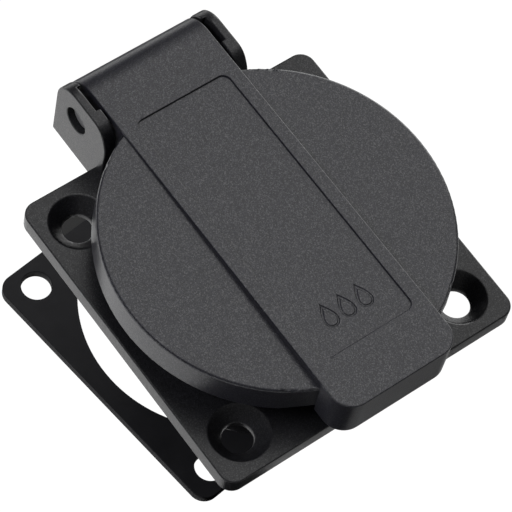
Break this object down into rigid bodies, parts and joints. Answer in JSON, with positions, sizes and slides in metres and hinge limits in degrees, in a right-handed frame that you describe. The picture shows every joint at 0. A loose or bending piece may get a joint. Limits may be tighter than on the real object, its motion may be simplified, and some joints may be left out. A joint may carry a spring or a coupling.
{
  "type": "panel power socket",
  "caption": "Square-flanged panel power socket with a round spring-closed splash lid on a back hinge, a deep plug recess, a terminal block behind and a loose flange gasket.",
  "frame": {"origin": "centre of the flange's underside, on the recess axis, in the middle of the four fixing holes", "axes": "+Z out of the panel through the lid, +Y towards the lid's hinge, +X to the right with the hinge at the back"},
  "size_m": [0.0529, 0.0632, 0.0422],
  "materials": {
    "housing_plastic": "fine spark texture",
    "lid_plastic": "fine spark texture",
    "pin_plastic": "moulded",
    "base_plastic": "moulded",
    "seal_rubber": "matt",
    "spring_steel": "drawn",
    "plated_steel": "zinc plated",
    "contact_brass": "stamped",
    "plated_brass": "nickel plated"
  },
  "bodies": {
    "housing": {"flange_housing": "housing_plastic", "lid_spring": "spring_steel", "flange_gasket": "seal_rubber", "contact_base": "base_plastic", "line_contact": "contact_brass", "neutral_contact": "contact_brass", "line_contact_clip": "spring_steel", "neutral_contact_clip": "spring_steel", "earth_bracket": "plated_brass", "line_terminal": "contact_brass", "neutral_terminal": "contact_brass", "earth_terminal": "contact_brass", "line_terminal_screw": "plated_steel", "neutral_terminal_screw": "plated_steel", "earth_terminal_screw": "plated_steel", "base_screws": "plated_steel", "terminal_cover": "base_plastic", "cover_screws": "plated_steel"},
    "lid": {"lid": "lid_plastic", "lid_seal": "seal_rubber", "hinge_pin": "pin_plastic"}
  },
  "joints": [
    {"name": "lid_hinge", "type": "hinge", "parent": "housing", "child": "lid", "pos_m": [0, 0.0301, 0.0084], "axis": [-1, 0, 0], "range_deg": [0, 105], "stiffness_Nm_per_rad": 0.015, "springref_deg": -85.94, "deforming": ["lid_spring"]}
  ]
}
